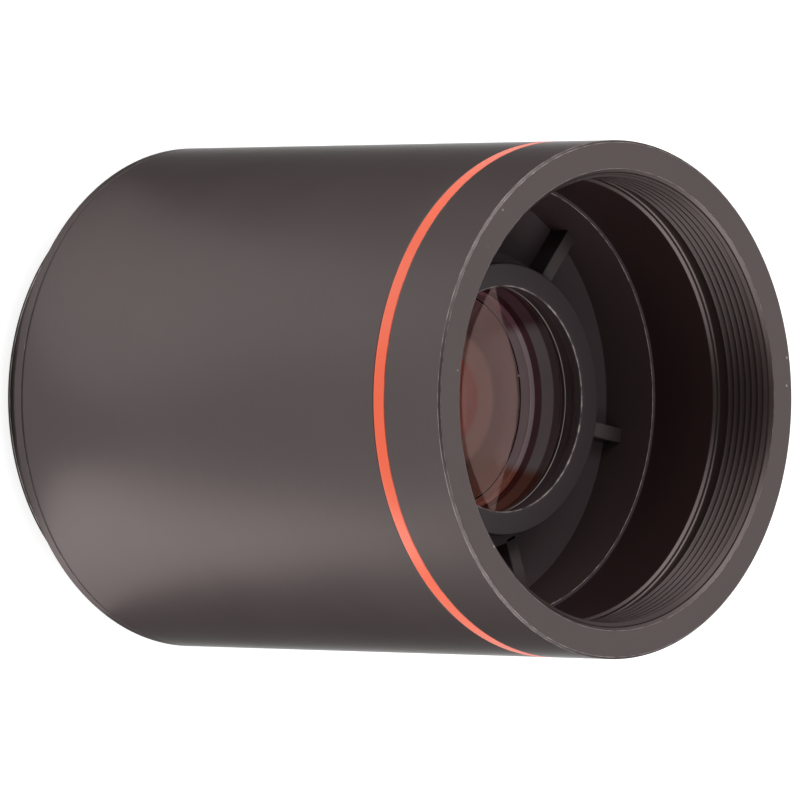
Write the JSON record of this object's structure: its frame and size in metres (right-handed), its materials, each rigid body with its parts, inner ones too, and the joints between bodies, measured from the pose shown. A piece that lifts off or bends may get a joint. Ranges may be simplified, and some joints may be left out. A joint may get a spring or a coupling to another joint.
{
  "type": "camera teleconverter",
  "caption": "Short black tube with a coloured band that screws between a lens and a camera adapter, holding a lens group in a ribbed carrier that doubles the focal length.",
  "frame": {"origin": "centre of the rear end, on the surface that the part stands on", "axes": "+Z along the optical axis, from the camera side towards the lens side; X and Y have no marked direction"},
  "size_m": [0.048, 0.048, 0.06],
  "materials": {
    "black_anodised": "satin black anodised, with bright wear on the edges",
    "orange_red": "satin",
    "black_moulding": "matte moulded",
    "matte_black_metal": "matte black anodised",
    "brass": "plain rolled",
    "coated_glass": "polished, with a warm coating"
  },
  "bodies": {
    "root": {"main_barrel": "black_anodised", "front_collar": "black_anodised", "accent_ring": "orange_red", "rear_mount": "black_anodised", "lens_carrier": "black_moulding", "focus_shim": "brass", "lens_tube": "matte_black_metal", "tube_lock_ring": "matte_black_metal", "nose_ring": "matte_black_metal", "front_seat_ring": "black_moulding", "front_glass": "coated_glass", "second_glass": "coated_glass", "light_stop": "matte_black_metal", "spacer_ring": "matte_black_metal", "third_glass": "coated_glass", "rear_glass": "coated_glass", "rear_seat_ring": "black_moulding", "rear_retainer": "matte_black_metal", "rear_baffle": "matte_black_metal", "baffle_ring": "matte_black_metal"}
  },
  "joints": []
}
